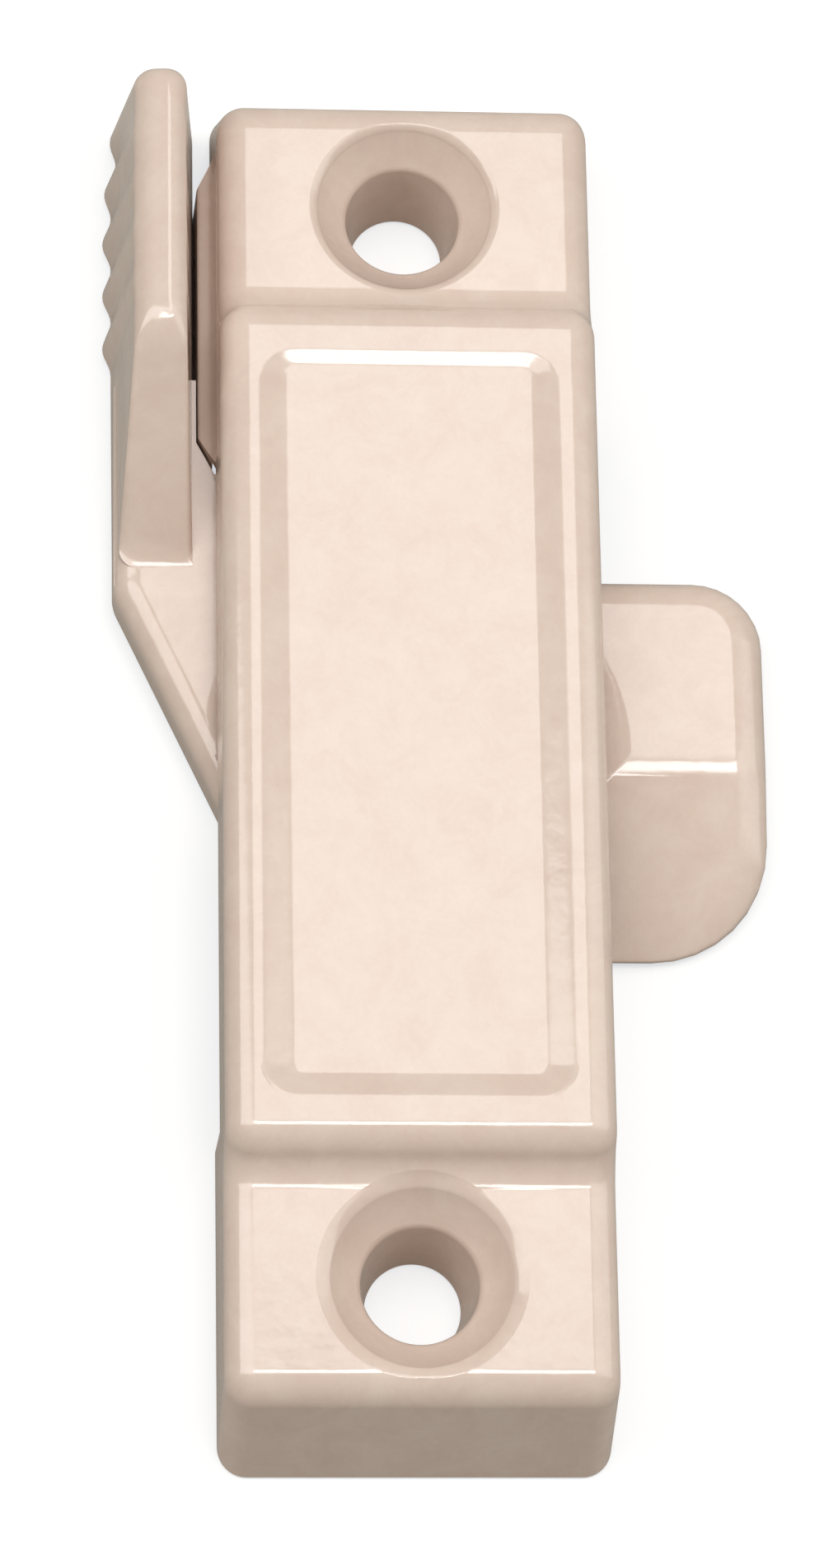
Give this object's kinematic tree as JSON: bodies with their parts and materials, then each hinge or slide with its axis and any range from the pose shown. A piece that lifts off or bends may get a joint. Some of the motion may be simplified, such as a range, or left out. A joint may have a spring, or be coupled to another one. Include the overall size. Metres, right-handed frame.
{
  "type": "window latch",
  "caption": "Surface-mounted window latch: a painted die-cast housing with countersunk screw holes and a finger lever cast with the hook that swings out to lock.",
  "frame": {"origin": "where the pivot axis meets the plane of the housing's back face", "axes": "+X across the latch towards the hook, +Y along it towards the lever's finger end, +Z out of the front face"},
  "size_m": [0.034, 0.074, 0.011],
  "materials": {
    "housing_paint": "gloss",
    "lever_paint": "gloss",
    "rivet_steel": "satin",
    "spring_steel": "satin",
    "nylon": "satin"
  },
  "bodies": {
    "housing": {"housing": "housing_paint", "pivot_rivet": "rivet_steel", "thrust_washer": "nylon", "wave_washer": "spring_steel", "retaining_washer": "rivet_steel", "click_spring": "spring_steel", "spring_rivet": "rivet_steel"},
    "lever": {"lever_hook": "lever_paint"}
  },
  "joints": [
    {"name": "lever_turn", "type": "hinge", "parent": "housing", "child": "lever", "pos_m": [0, 0, 0.0025], "axis": [0, 0, 1], "range_deg": [0, 90]}
  ]
}
